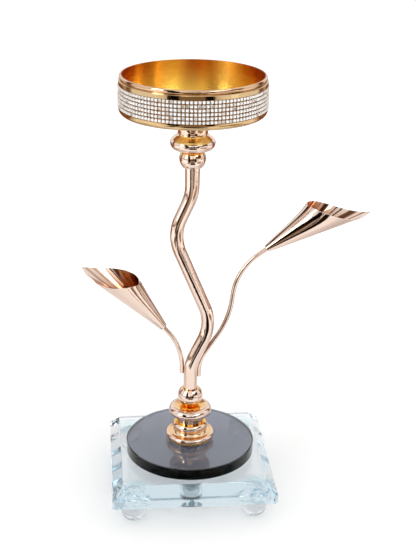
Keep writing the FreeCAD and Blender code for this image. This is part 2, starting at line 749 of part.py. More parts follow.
def band_hoop():
    """The hoop round the bowl: a channel between two lips, which the stone mesh lies in. The lower lip draws
    in under the bowl's rounded corner."""
    outer = HOOP_INNER + dim("hoop_flange")
    low, turn = dim("hoop_lower_lip"), dim("hoop_lip_round")
    high, top = low + STONE_BAND, HOOP_HEIGHT
    start = dim("bowl_corner") * HOOP_SEAT_SHARE
    draw, rise = dim("hoop_lower_draw"), low * HOOP_DRAW_SHARE
    bottom, curve = outer - draw, arc_radius(draw, rise)
    body = turned("band_hoop", [
        (HOOP_INNER, start), (bottom - dim("hoop_bottom_land"), ZERO), (bottom, ZERO, curve, "left"),
        (outer, rise), (outer, low),
        (HOOP_CHANNEL, low), (HOOP_CHANNEL, high), (outer, high), (outer, top - turn, turn, "left"),
        (outer - turn, top), (HOOP_INNER, top)])
    place(body, z=HOOP_BOTTOM)
    return piece(body, "band_hoop")


def stone_mesh():
    """The gilt strip that the stones are set on."""
    margin = dim("mesh_clearance")
    return flat_ring("stone_mesh", MESH_INNER, MESH_OUTER, STONE_BAND - margin * 2, STONE_BOTTOM + margin)


def rhinestones():
    """Square-cut stones in rows and columns round the strip, each tapered from its girdle to its table."""
    girdle, table = dim("stone_girdle").number / 2, dim("stone_table").number / 2
    levels = ((girdle, 0.0), (table, dim("stone_height").number))
    rings = [[Vector(z, x * half, y * half) for x, y in ((-1, -1), (1, -1), (1, 1), (-1, 1))]
             for half, z in levels]
    walls = [Part.Face(Part.makePolygon([low[i], low[(i + 1) % 4], high[(i + 1) % 4], high[i], low[i]]))
             for low, high in zip(rings, rings[1:]) for i in range(4)]
    ends = [Part.Face(Part.makePolygon(ring + [ring[0]])) for ring in (rings[0], rings[-1])]
    stone = Part.makeSolid(Part.makeShell(walls + ends))
    if stone.Volume < 0:
        stone.reverse()
    seat = MESH_OUTER.number + dim("stone_seat_gap").number
    pitch = dim("stone_pitch").number
    stones = []
    for row in range(STONE_ROWS):
        height = STONE_BOTTOM.number + (row + 0.5) * pitch
        for column in range(STONE_COLUMNS):
            turn = FreeCAD.Rotation(Vector(0, 0, 1), 360.0 * column / STONE_COLUMNS)
            at = turn.multVec(Vector(seat, 0, 0)) + Vector(0, 0, height)
            copy = stone.copy()
            copy.Placement = FreeCAD.Placement(at, turn)
            stones.append(copy)
    group = DOC.addObject("Part::Feature", "rhinestones")
    group.Shape = Part.makeCompound(stones)
    return piece(group, "rhinestones")


def cup_hardware():
    """The screw that pulls cup, neck, saucer and knob down on the tube's upper plug, head in the dimple."""
    floor = BOWL_BOTTOM + dim("bowl_wall")
    washer = dim("washer_thickness")
    flat_ring("cup_washer", BORE, dim("washer_radius"), washer, floor)
    head, edge = dim("cup_screw_head_height"), dim("cup_screw_head_edge")
    radius, shank = dim("cup_screw_head_radius"), dim("bolt_radius")
    under_head = floor + washer
    length = under_head - (TUBE_TOP - dim("bolt_engagement"))
    body = turned("cup_screw", [
        (ZERO, ZERO), (shank, ZERO), (shank, length), (radius, length),
        (radius, length + head - edge, edge, "left"), (radius - edge, length + head), (ZERO, length + head)])
    place(body, z=under_head - length)
    return piece(body, "cup_screw")


ball_feet()
crystal_base()
smoked_disc()
clamp_hardware()
turned_foot()
turned_collar()
ball_knob("lower_knob", LOW_KNOB_CENTRE, True)
wavy_tube()
tube_plug("lower_plug", TUBE_BOTTOM)
tube_plug("upper_plug", TUBE_TOP - dim("plug_length"))
wire_branch("left_branch", LEFT_CORNERS, [dim("left_bend_radius")], LEFT_BACK)
wire_branch("right_branch", RIGHT_CORNERS,
            [dim("right_low_radius"), dim("right_mid_radius"), dim("right_high_radius")], RIGHT_BACK)
calla_flower("left", LEFT_CORNERS, LEFT_BACK, LEFT_CALLA_ROLL_DEG, LEFT_CALLA_DROOP_DEG)
calla_flower("right", RIGHT_CORNERS, RIGHT_BACK, RIGHT_CALLA_ROLL_DEG, RIGHT_CALLA_DROOP_DEG)
ball_knob("upper_knob", HIGH_KNOB_CENTRE, False)
saucer()
cup_neck()
cup_bowl()
band_hoop()
stone_mesh()
rhinestones()
cup_hardware()

DOC.recompute()
faults = [o.Label for o in DOC.Objects if "Invalid" in o.State or "Error" in o.State]
faults += [p.Label for p in PIECES if p.Shape.isNull() or not p.Shape.isValid() or not p.Shape.Solids]
if faults:
    raise RuntimeError(f"these objects did not build: {faults}")
os.makedirs("parts", exist_ok=True)
for made in PIECES:
    made.Shape.exportStep(os.path.join("parts", f"{made.Label}.step"))
    print(made.Label, len(made.Shape.Solids), round(made.Shape.Volume, 1))
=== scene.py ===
import functools
import math

import bpy
import numpy as np
from mathutils import Matrix, Vector


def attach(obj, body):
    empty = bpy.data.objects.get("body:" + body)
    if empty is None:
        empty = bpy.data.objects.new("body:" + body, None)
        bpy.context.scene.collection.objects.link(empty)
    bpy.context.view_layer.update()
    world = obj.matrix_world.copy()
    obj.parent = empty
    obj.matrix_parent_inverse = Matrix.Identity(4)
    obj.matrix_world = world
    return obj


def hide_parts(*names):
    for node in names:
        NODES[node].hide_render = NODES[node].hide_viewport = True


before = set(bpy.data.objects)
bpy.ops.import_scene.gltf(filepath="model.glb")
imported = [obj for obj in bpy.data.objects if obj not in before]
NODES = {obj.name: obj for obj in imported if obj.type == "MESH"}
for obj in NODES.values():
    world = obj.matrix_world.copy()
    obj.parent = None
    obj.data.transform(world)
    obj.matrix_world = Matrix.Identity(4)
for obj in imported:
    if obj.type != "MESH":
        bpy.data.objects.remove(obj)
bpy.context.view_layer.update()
MM = 0.001

# Named sizes in millimetres, as in the part.
STONE_ROWS = 6
STONE_COLUMNS = 120
STONE_PITCH = 2.88
STONE_BOTTOM = 323.013
STONE_SEAT_RADIUS = 54.55
STONE_WIDTH = 2.34
STONE_HEIGHT = 0.95
BOWL_RADIUS = 53.7
BOWL_WALL = 1.2
BOWL_FLOOR = 319.713
BOWL_RIM = 347.093
COUNTERBORE_RADIUS = 9.0
COUNTERBORE_TOP = 28.6
GLASS_BORE_RADIUS = 4.5
DISC_RADIUS = 52.0
BASE_SIDE = 130.0
BASE_CORNER = 1.6
BASE_BOTTOM = 19.6
BASE_WALL_TOP = 26.6
BASE_TOP = 35.6
BASE_BEVEL_INSET = 8.4
BALL_PLACE = 48.0

# Sizes in millimetres of what the scene adds: facets, claws, eased edges, glue, and the air round the block.
STONE_TABLE = 1.56
STONE_CORNER_SHARE = 0.34
STONE_TILT = 0.05
CLAW_RADIUS = 0.3
CLAW_HEIGHT = 0.6
CLAW_SIDES = 6
EDGE_EASE = 0.3
EDGE_STEPS = 20
CORNER_STEPS = 4
GLUE_RADIUS = 14.0
AIR_FILM = 0.04

# The stone's flat table among its faces, and how rare the dark tones of painted reflection are on facets and on
# tables.
TABLE_FACE = 1
FACET_TONE_POWER = 1.6
TABLE_TONE_POWER = 6

# How deep the painted shade lies in the bowl's satin, standing for the studio's reflection, from its right side
# round the back to its left side, as shares of the half turn.
PAINTED_SHADE_SHARES = [(0.0, 1.0), (0.08, 1.0), (0.15, 0.9), (0.22, 0.65), (0.275, 0.12), (0.33, 0.08), (0.38, 0.4),
                  (0.42, 0.8), (0.47, 0.85), (0.515, 0.5), (0.56, 0.15), (0.61, 0.05), (0.66, 0.2), (0.72, 0.7),
                  (0.78, 0.6), (0.86, 1.0), (1.0, 1.0)]

WHITE = "#FFFFFF"
CROWN_IOR = 1.52
GROUND_ROUGHNESS = 0.25
# How much of the glass's tint its shadows keep.
SHADOW_TINT_SHARE = 0.15
HOLLOW_SAMPLES = 6

# The studio, in metres: the floor, how much it glows near the object and far from it, and the light all round.
FLOOR_HALF = 7.0
GLOW_NEAR, GLOW_FAR = 0.15, 0.6
GLOW_LOW, GLOW_HIGH = 0.08, 0.36
ROOM_LIGHT = 0.72
HORIZON_SIDES = 64
BLACK_CARD = "#0A0706"
WARM_FRINGE = "#B5763F"
PALE_FRINGE = "#F4F0EE"
LAMP_FRINGE = "#FFF1E0"

# Cards that only reflections see: name, centre, width and height, the point it faces, colour, the share of its
# half size that is plain, and, where they aren't the usual ones, the colour of its fading edge and its glow.
CARDS = [
    ("dark_left", (-0.425, -0.63, 0.25), (0.27, 0.8), (0.0, 0.0, 0.3), BLACK_CARD, 0.85),
    ("dark_right", (0.26, -0.72, 0.15), (0.22, 0.6), (0.0, 0.0, 0.3), BLACK_CARD, 0.8),
    ("dark_high", (-0.62, -0.68, 0.72), (0.34, 0.5), (0.0, 0.0, 0.25), BLACK_CARD, 0.7),
    ("far_right", (1.0, -0.6, 0.62), (0.9, 0.7), (0.0, 0.0, 0.3), "#4A3524", 0.6),
    ("front_drop", (-0.12, -1.6, 0.12), (2.4, 0.9), (0.0, 0.0, 0.12), "#5C4A3C", 0.4),
    ("front_floor", (-0.12, -1.40, 0.002), (2.4, 2.0), (-0.12, -1.40, 1.0), "#9A8468", 0.4),
    ("table_edge", (-0.1, -0.62, 0.004), (0.7, 0.36), (-0.1, -0.62, 1.0), "#1C1510", 0.3),
    ("front_right_high", (0.57, -0.91, 0.57), (0.5, 0.5), (0.1, 0.0, 0.24), "#4A3626", 0.5),
    ("overhead", (-0.25, 0.35, 1.25), (0.9, 0.8), (0.1, 0.0, 0.24), "#6A523C", 0.5),
    ("gap_left", (-0.9, 0.5, 0.4), (0.46, 1.6), (0.0, 0.0, 0.3), "#6E4E36", 0.2),
    ("gap_right", (0.9, 0.5, 0.4), (0.46, 1.6), (0.0, 0.0, 0.3), "#6E4E36", 0.2),
    ("floor_right", (0.28, 0.06, 0.002), (0.44, 0.44), (0.28, 0.06, 1.0), "#B8AEA8", 0.1, PALE_FRINGE),
    ("floor_left", (-0.28, 0.12, 0.002), (0.5, 0.5), (-0.28, 0.12, 1.0), "#D4CCC8", 0.1, PALE_FRINGE),
    ("floor_dark", (-0.32, -0.42, 0.004), (0.26, 0.4), (-0.32, -0.42, 1.0), "#1C1510", 0.5),
    ("floor_tan", (0.54, -0.3, 0.0015), (0.6, 0.6), (0.54, -0.3, 1.0), "#B09070", 0.3, "#D8C4B0"),
    ("floor_mark", (0.34, -0.38, 0.005), (0.16, 0.2), (0.34, -0.38, 1.0), "#6A4A36", 0.5),
    ("dark_rear", (-0.1, 1.2, 0.16), (0.3, 0.16), (0.0, 0.0, 0.2), BLACK_CARD, 0.7),
    ("dark_front", (0.05, -0.84, 0.36), (0.1, 0.3), (0.0, 0.0, 0.25), BLACK_CARD, 0.7),
    ("near_mark", (-0.02, -0.37, 0.006), (0.34, 0.26), (-0.02, -0.37, 1.0), "#1C120A", 0.75),
    ("rear_high", (0.05, 0.8, 0.70), (0.5, 0.2), (0.13, 0.0, 0.23), "#9A7058", 0.5),
    ("rear_floor", (0.0, 0.95, 0.003), (3.0, 1.7), (0.0, 0.95, 1.0), "#96603A", 0.6),
    ("bright_right", (0.32, -1.2, 0.66), (0.6, 0.5), (-0.06, 0.0, 0.19), WHITE, 0.6, LAMP_FRINGE, 1.5),
    ("bright_left", (-0.45, -1.05, 0.62), (0.5, 0.6), (0.0, 0.0, 0.25), WHITE, 0.6, LAMP_FRINGE, 1.5),
    ("bright_low", (1.12, -0.65, 0.12), (0.35, 0.36), (0.0, 0.0, 0.19), WHITE, 0.7, LAMP_FRINGE, 1.4),
    ("frame_near", (0.1, -0.25, 1.0), (0.5, 0.09), (0.1, -0.25, 0.0), BLACK_CARD, 0.85),
    ("frame_far", (0.15, -0.53, 1.0), (0.5, 0.09), (0.15, -0.53, 0.0), BLACK_CARD, 0.85),
]

# Lamps: name, centre, width and height, the point it faces, watts, and whether polish mirrors it.
LAMPS = [
    ("left_strip", (-1.1, -0.5, 0.7), (0.2, 0.9), (0.0, 0.0, 0.15), 1.8, True),
    ("right_strip", (1.1, -0.1, 0.8), (0.2, 0.9), (0.0, 0.0, 0.15), 1.4, False),
    ("key_right", (0.72, -0.85, 0.9), (0.7, 0.45), (0.0, 0.0, 0.3), 3.4, True),
    ("key_left", (-1.0, -0.68, 0.78), (0.44, 0.5), (0.08, 0.0, 0.23), 2.4, True),
    ("front_panel", (-0.1, -1.2, 1.05), (0.9, 0.5), (0.0, 0.0, 0.25), 2.0, False),
    ("top_panel", (0.1, 0.2, 1.4), (0.6, 0.6), (0.0, 0.0, 0.1), 1.6, False),
]

# The photograph's viewpoint: place in millimetres, turn, tilt and roll in degrees, focal length in pixels.
CAMERA_PLACE = (-71.7, -844.7, 529.8)
CAMERA_TURNS = (5.725, 22.003, 0.913)
FOCAL_PIXELS = 1172.6
LONG_SIDE_PIXELS = 555.0
SENSOR_WIDTH = 36.0

# Light that mirrors to and fro inside the block needs more bounces than the usual four.
MOST_BOUNCES = 48
MIRROR_BOUNCES = 40
GLASS_BOUNCES = 16


def linear(hex_colour):
    """An sRGB hex colour as the linear colour that a shader's socket takes."""
    channels = [int(hex_colour[i:i + 2], 16) / 255 for i in (1, 3, 5)]
    return [c / 12.92 if c <= 0.04045 else ((c + 0.055) / 1.055) ** 2.4 for c in channels] + [1.0]


def grain(size_mm):
    """The scale of a noise whose features are about that many millimetres across."""
    return 1 / (size_mm * MM)


def feed(node, inputs):
    """Sets a node's inputs, by name or number, to values, or links other nodes' sockets to them."""
    for name, value in inputs.items() if isinstance(inputs, dict) else enumerate(inputs):
        if isinstance(value, bpy.types.NodeSocket):
            node.id_data.links.new(value, node.inputs[name])
        else:
            node.inputs[name].default_value = value


def add(tree, kind, inputs=(), out=0, **settings):
    """Adds a node with its settings and inputs, and gives one of its output sockets, by name or number."""
    node = tree.nodes.new("ShaderNode" + kind)
    for name, value in settings.items():
        setattr(node, name, value)
    feed(node, inputs)
    return node.outputs[out]


def new_material(name):
    """A new material, with what adds nodes to it, its shader, and the coordinates of the object that wears it."""
    material = bpy.data.materials.new(name)
    material.use_nodes = True
    node = functools.partial(add, material.node_tree)
    return material, node, material.node_tree.nodes["Principled BSDF"], node("TexCoord", out="Object")


def tones(node, coords, size_mm, first, second, detail=2.0):
    """Two tones of one finish in soft patches of that size."""
    patches = node("TexNoise", {"Vector": coords, "Scale": grain(size_mm), "Detail": detail})
    return node("Mix", {0: patches, 6: linear(first), 7: linear(second)}, out=2, data_type="RGBA")


def uneven(node, coords, size_mm, low, high, detail=2.0):
    """A value that wanders from low to high over patches of that size."""
    patches = node("TexNoise", {"Vector": coords, "Scale": grain(size_mm), "Detail": detail})
    return node("MapRange", {"Value": patches, "To Min": low, "To Max": high})


def relief(node, coords, size_mm, depth_mm, detail=2.0):
    """A surface that swells and sinks by that depth over patches of that size."""
    swell = node("TexNoise", {"Vector": coords, "Scale": grain(size_mm), "Detail": detail})
    return node("Bump", {"Height": swell, "Distance": depth_mm * MM, "Strength": 1.0})


def radius_and_height(node, coords):
    """The distance from the upright axis, the root of x squared plus y squared, and the height, in metres."""
    x, y, height = node("SeparateXYZ", [coords]).node.outputs
    squares = [node("Math", [part, part], operation="MULTIPLY") for part in (x, y)]
    return node("Math", [node("Math", squares, operation="ADD")], operation="SQRT"), height


def around_axis(node, coords, shares):
    """A value that changes with the angle round the upright axis, given as pairs of a share of the half turn
    and the value there. The front half turn mirrors the rear one."""
    x, y, _ = node("SeparateXYZ", [coords]).node.outputs
    turn = node("Math", [node("Math", [y, x], operation="ARCTAN2")], operation="ABSOLUTE")
    value_there = node("ValToRGB", [node("Math", [turn, math.pi], operation="DIVIDE")])
    ramp = value_there.node.color_ramp
    ramp.interpolation = "CARDINAL"
    while len(ramp.elements) < len(shares):
        ramp.elements.new(0.5)
    for element, (place, value) in zip(ramp.elements, shares):
        element.position = place
        element.color = (value, value, value, 1.0)
    return value_there


def shaded_in_hollows(node, pale, deep, reach_mm, low, high):
    """Painted shade: the pale tone where a surface lies open, the deep one in hollows that see little of the room.
    """
    sight = node("AmbientOcclusion", {"Distance": reach_mm * MM}, out="AO", samples=HOLLOW_SAMPLES)
    open_share = node("MapRange", {"Value": sight, "From Min": low, "From Max": high},
                      interpolation_type="SMOOTHSTEP")
    return node("Mix", {0: open_share, 6: deep, 7: pale}, out=2, data_type="RGBA")


def rose_gold(name, deep, reach_mm, low, high):
    """Polished rose gold plate: a mirror with faint orange peel, patches of a deeper tone, and painted shade of that
    reach in its hollows: a warm deep tone for the darker, oranger light that gold mirrors into gold there."""
    material, node, shader, coords = new_material(name)
    plate = tones(node, coords, 30.0, "#EDD8CB", "#E6CDBC", 3.0)
    # Painted shade: the deep tone darkens the plate in hollows, by ambient occlusion.
    feed(shader, {"Base Color": shaded_in_hollows(node, plate, linear(deep), reach_mm, low, high), "Metallic": 1.0,
                  "Roughness": uneven(node, coords, 1.4, 0.03, 0.075, 4.0),
                  "Normal": relief(node, coords, 5.0, 0.008)})
    return material


def bowl_gold():
    """Spun and gilt bowl: polished outside, with a satin amber lacquer inside and underneath. Fine spinning lines
    draw its highlights out into upright lobes. The satin holds painted light: paler towards the floor as if lit
    from above, with painted shade on some sides, stronger towards the rim, for the studio's reflection."""
    material, node, shader, coords = new_material("gilt_bowl")
    radius, height = radius_and_height(node, coords)
    within_wall = node("Math", [radius, (BOWL_RADIUS - BOWL_WALL / 2) * MM], operation="LESS_THAN")
    above_floor = node("Math", [height, (BOWL_FLOOR - BOWL_WALL / 2) * MM], operation="GREATER_THAN")
    under_floor = node("Math", [height, (BOWL_FLOOR - BOWL_WALL / 2) * MM], operation="LESS_THAN")
    in_bowl = node("Math", [within_wall, above_floor], operation="MULTIPLY")
    satin_here = node("Math", [in_bowl, under_floor], operation="MAXIMUM")
    run = node("Math", [radius, height], operation="ADD")
    lines = node("TexNoise", {"W": run, "Scale": grain(0.5), "Detail": 3.0}, noise_dimensions="1D")
    up_wall = node("MapRange", {"Value": height, "From Min": BOWL_FLOOR * MM, "From Max": BOWL_RIM * MM},
                   interpolation_type="SMOOTHSTEP")
    # Painted light: the amber is paler at the floor, as if lit from above.
    amber = node("Mix", {0: up_wall, 6: linear("#FFEE98"), 7: linear("#FFC858")}, out=2, data_type="RGBA")
    # Painted shade in #B4560C: dark bands round the bowl, stronger towards the rim, for the studio's reflection.
    painted_shade_up_wall = node("MapRange", {"Value": up_wall, "To Min": 0.2, "To Max": 1.0})
    depth = node("Math", [around_axis(node, coords, PAINTED_SHADE_SHARES), painted_shade_up_wall], operation="MULTIPLY")
    satin = node("Mix", {0: depth, 6: amber, 7: linear("#B4560C")}, out=2, data_type="RGBA")
    polish = tones(node, coords, 24.0, "#E0BE9C", "#D2AA84", 3.0)
    satin_rough = node("MapRange", {"Value": lines, "To Min": 0.2, "To Max": 0.3})
    polish_rough = uneven(node, coords, 1.4, 0.04, 0.08, 4.0)
    grooves = node("Math", [lines, satin_here], operation="MULTIPLY")
    feed(shader, {"Base Color": node("Mix", {0: satin_here, 6: polish, 7: satin}, out=2, data_type="RGBA"),
                  "Metallic": 1.0, "Roughness": node("Mix", {0: satin_here, 2: polish_rough, 3: satin_rough}),
                  "Normal": node("Bump", {"Height": grooves, "Distance": 0.0006 * MM, "Strength": 1.0}),
                  "Anisotropic": 0.75, "Anisotropic Rotation": 0.25,
                  "Tangent": node("Tangent", direction_type="RADIAL", axis="Z")})
    return material


def hoop_gold():
    """Brushed pale gold of the band's lips, a soft mirror."""
    material, node, shader, coords = new_material("hoop_gold")
    feed(shader, {"Base Color": tones(node, coords, 12.0, "#DABE92", "#C4A272", 3.0), "Metallic": 1.0,
                  "Roughness": uneven(node, coords, 0.8, 0.06, 0.14, 3.0),
                  "Normal": relief(node, coords, 2.0, 0.006)})
    return material


def mesh_gold():
    """Dull gold of the strip behind the stones and of its claws, made dark as painted shade, which makes the dark
    lines between stones.
    """
    material, node, shader, coords = new_material("gilt_mesh")
    # Painted shade: the strip's gold is darkened to make the lines between stones.
    feed(shader, {"Base Color": tones(node, coords, 1.5, "#B08240", "#7C521E", 3.0), "Metallic": 1.0,
                  "Roughness": uneven(node, coords, 1.5, 0.25, 0.45, 3.0),
                  "Normal": relief(node, coords, 0.5, 0.05)})
    return material


def stone_glass():
    """Foiled crystal: bright cut facets under a thin clear coat. Each facet has a painted reflection of its own,
    from white to the tan of mirrored gold.
    """
    material, node, shader, coords = new_material("white_stone")
    # Painted reflection: each facet's tone mixes white with the tan of mirrored gold.
    tone = node("Attribute", out="Fac", attribute_name="tone")
    colour = node("Mix", {0: tone, 6: linear(WHITE), 7: linear("#A8885C")}, out=2, data_type="RGBA")
    feed(shader, {"Base Color": colour, "Metallic": 0.1, "Roughness": uneven(node, coords, 0.7, 0.1, 0.28),
                  "Coat Weight": 0.3, "Coat Roughness": 0.02})
    return material


def glue_patches(node, coords):
    """The block's underside round the four glued balls: 1 at each ball, fading outwards with the distance."""
    x, y, height = node("SeparateXYZ", [coords]).node.outputs
    sides = [node("Math", [part], operation="ABSOLUTE") for part in (x, y)]
    offsets = [node("Math", [side, BALL_PLACE * MM], operation="SUBTRACT") for side in sides]
    squares = [node("Math", [offset, offset], operation="MULTIPLY") for offset in offsets]
    away = node("Math", [node("Math", squares, operation="ADD")], operation="SQRT")
    spread = node("MapRange", {"Value": away, "From Min": GLUE_RADIUS * MM / 2, "From Max": GLUE_RADIUS * MM,
                               "To Min": 1.0, "To Max": 0.0})
    under = node("Math", [height, (BASE_BOTTOM + EDGE_EASE) * MM], operation="LESS_THAN")
    return node("Math", [spread, under], operation="MULTIPLY")


def clear_glass(name, tint, density, frost=None, haze=0.012, ripple=None, rim=None, bend=CROWN_IOR, glued=False):
    """Solid glass with a body tint that deepens with the length of glass that is looked through. Frost is the
    radius in millimetres round the axis within which a drilled hole has a ground surface, rim the radius beyond
    which the edge's mirroring is tinted dark, painted shade for the black look of the long way through the glass,
    ripple the depth of an uneven surface. Glued glass has uneven patches of glue at the balls below it. Light
    passes it to make a pale shadow, in which the tint counts less."""
    material, node, shader, coords = new_material(name)
    radius, _ = radius_and_height(node, coords)
    rough = uneven(node, coords, 6.0, 0.0, haze, 3.0)
    if frost:
        ground = node("Math", [radius, frost * MM], operation="LESS_THAN")
        rough = node("Mix", {0: ground, 2: rough, 3: GROUND_ROUGHNESS})
    feed(shader, {"Base Color": linear(WHITE), "Transmission Weight": 1.0, "IOR": bend, "Roughness": rough})
    if ripple:
        feed(shader, {"Normal": relief(node, coords, 2.2, ripple, 3.0)})
    if glued:
        glue = glue_patches(node, coords)
        swell = node("TexNoise", {"Vector": coords, "Scale": grain(6.0), "Detail": 1.0})
        waves = node("Math", [swell, glue], operation="MULTIPLY")
        colour = node("Mix", {0: glue, 6: linear(WHITE), 7: linear("#CDEBF4")}, out=2, data_type="RGBA")
        feed(shader, {"Base Color": colour,
                      "Normal": node("Bump", {"Height": waves, "Distance": 0.7 * MM, "Strength": 1.0})})
    # Painted shade: beyond the rim radius the edge's reflections are tinted dark.
    if rim:
        edge = node("Math", [radius, (rim - AIR_FILM) * MM], operation="GREATER_THAN")
        gleam = node("Mix", {0: edge, 6: linear(WHITE), 7: linear("#303030")}, out=2, data_type="RGBA")
        feed(shader, {"Specular Tint": gleam})
    shadow = node("LightPath", out="Is Shadow Ray")
    passing = node("BsdfTransparent", {"Color": linear("#F4F8F9")})
    thinned = node("MapRange", {"Value": shadow, "To Min": density, "To Max": SHADOW_TINT_SHARE * density})
    feed(material.node_tree.nodes["Material Output"],
         {"Surface": node("MixShader", [shadow, shader.outputs[0], passing]),
          "Volume": node("VolumeAbsorption", {"Color": linear(tint), "Density": thinned})})
    return material


def soft_pvc():
    """Moulded clear PVC of the soft washers: milky, with a dull skin that lets a little light in."""
    material, node, shader, coords = new_material("soft_pvc")
    feed(shader, {"Base Color": tones(node, coords, 3.0, "#F2F6F6", "#E4EAEA"),
                  "Roughness": uneven(node, coords, 3.0, 0.35, 0.5), "Transmission Weight": 0.3,
                  "Subsurface Weight": 0.2, "Subsurface Scale": 0.001})
    return material


def zinc_steel(name, pale, deep, metallic):
    """Zinc plated steel, dull and finely mottled: bright with much metal in it, or white with little, a painted
    light that makes a shaded hole read pale.
    """
    material, node, shader, coords = new_material(name)
    feed(shader, {"Base Color": tones(node, coords, 1.2, pale, deep, 4.0), "Metallic": metallic,
                  "Roughness": uneven(node, coords, 1.2, 0.34, 0.5, 4.0),
                  "Normal": relief(node, coords, 0.6, 0.01)})
    return material


def dress(material, *names):
    """Gives CAD nodes a material of the scene's own."""
    for name in names:
        slots = NODES[name].data.materials
        slots.clear()
        slots.append(material)


def mesh_piece(name, points, faces, material, smooth=True, facet_reflection_tones=None):
    """A new piece from points in millimetres, riding on the part's one body."""
    mesh = bpy.data.meshes.new(name)
    mesh.from_pydata((points * MM).tolist(), [], faces)
    mesh.polygons.foreach_set("use_smooth", np.full(len(faces), smooth))
    if facet_reflection_tones is not None:
        layer = mesh.attributes.new("tone", "FLOAT", "FACE")
        layer.data.foreach_set("value", facet_reflection_tones.astype(np.float32))
    mesh.materials.append(material)
    mesh.update()
    thing = bpy.data.objects.new(name, mesh)
    bpy.context.scene.collection.objects.link(thing)
    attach(thing, "root")
    return thing


def stacked(levels):
    """Points (out, along, up) of rings that each lie at one distance out."""
    return np.concatenate([np.column_stack([np.full(len(ring), out), ring]) for out, ring in levels])


def circle(radius, sides):
    """Points on a circle: radius times the cosine and sine of equal turns."""
    turn = np.arange(sides) * math.tau / sides
    return radius * np.column_stack([np.cos(turn), np.sin(turn)])


def scattered(unit, unit_faces, places, tilts):
    """Copies of a small shape: its points are tilted in their own plane, moved out from the axis by each place's
    radius, turned about the upright axis by its angle and lifted to its height."""
    radius, angle, height = places.T[..., None]
    cos_t, sin_t = np.cos(tilts)[:, None], np.sin(tilts)[:, None]
    out = unit[:, 0] + radius
    along = unit[:, 1] * cos_t - unit[:, 2] * sin_t
    up = unit[:, 1] * sin_t + unit[:, 2] * cos_t
    x = out * np.cos(angle) - along * np.sin(angle)
    y = out * np.sin(angle) + along * np.cos(angle)
    points = np.stack([x, y, up + height], axis=-1).reshape(-1, 3)
    starts = np.arange(len(places))[:, None] * len(unit)
    by_face = [(starts + np.array(face)).tolist() for face in unit_faces]
    return points, [face for copy in zip(*by_face) for face in copy]


def stone_unit():
    """A cushion-cut stone: a square girdle with cut corners, star facets and a flat table. Four rings of eight
    points lie one above another, and the third has its points between those of the others."""
    inner = 1 - STONE_CORNER_SHARE
    outline = np.array([(1, -inner), (1, inner), (inner, 1), (-inner, 1), (-1, inner), (-1, -inner), (-inner, -1),
                        (inner, -1)])
    between = (outline + np.roll(outline, -1, axis=0)) / 2
    points = stacked([(0.0, outline * STONE_WIDTH * 0.46), (STONE_HEIGHT * 0.28, outline * STONE_WIDTH / 2),
                      (STONE_HEIGHT * 0.72, between * (STONE_WIDTH + STONE_TABLE) / 4),
                      (STONE_HEIGHT, outline * STONE_TABLE / 2)])
    sides = len(outline)
    faces = [list(range(sides))[::-1], [3 * sides + i for i in range(sides)]]
    for i in range(sides):
        after = (i + 1) % sides
        faces += [[i, after, sides + after, sides + i],
                  [sides + i, sides + after, 2 * sides + i],
                  [sides + after, 2 * sides + after, 2 * sides + i],
                  [2 * sides + i, 2 * sides + after, 3 * sides + after],
                  [2 * sides + i, 3 * sides + after, 3 * sides + i]]
    return points, faces


def claw_unit():
    """A small round bead on a short post, which holds the corners of four stones: three rings and a tip."""
    levels = [(0.0, CLAW_RADIUS), (CLAW_HEIGHT * 0.55, CLAW_RADIUS), (CLAW_HEIGHT * 0.85, CLAW_RADIUS * 0.75)]
    rings = stacked([(out, circle(radius, CLAW_SIDES)) for out, radius in levels])
    points = np.vstack([rings, (CLAW_HEIGHT, 0.0, 0.0)])
    here = np.arange(CLAW_SIDES)
    after = np.roll(here, -1)
    faces = [here[::-1].tolist()]
    for low in range(0, len(rings) - CLAW_SIDES, CLAW_SIDES):
        high = low + CLAW_SIDES
        faces += np.column_stack([low + here, low + after, high + after, high + here]).tolist()
    top = len(rings) - CLAW_SIDES
    faces += np.column_stack([top + here, top + after, np.full(CLAW_SIDES, len(rings))]).tolist()
    return points, faces


def band_places(rows, shift):
    """Places on a grid round the cup, as radius, angle and height: each column a pitch further round, each row a
    pitch higher. Shift is a share of a column."""
    row, column = np.meshgrid(rows, np.arange(STONE_COLUMNS) + shift, indexing="ij")
    angle = column.ravel() * math.tau / STONE_COLUMNS
    return np.column_stack([np.full(angle.size, STONE_SEAT_RADIUS), angle, STONE_BOTTOM + row.ravel() * STONE_PITCH])


def stone_band(stone, claw):
    """Rows of stones round the cup with a claw at each crossing between them."""
    rng = np.random.default_rng(7)
    places = band_places(np.arange(STONE_ROWS) + 0.5, 0.0)
    unit, unit_faces = stone_unit()
    points, faces = scattered(unit, unit_faces, places, rng.normal(0.0, STONE_TILT, len(places)))
    # Painted reflection: a tone per facet from white to tan, dark ones rare, and rarer still on the tables.
    facet_reflection_tones = rng.random((len(places), len(unit_faces))) ** FACET_TONE_POWER
    facet_reflection_tones[:, TABLE_FACE] = rng.random(len(places)) ** TABLE_TONE_POWER
    stones = mesh_piece("stone_rows", points, faces, stone, False, facet_reflection_tones.ravel())
    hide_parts("rhinestones")
    claw_places = band_places(np.arange(1, STONE_ROWS), 0.5)
    points, faces = scattered(*claw_unit(), claw_places, np.zeros(len(claw_places)))
    mesh_piece("stone_claws", points, faces, claw)


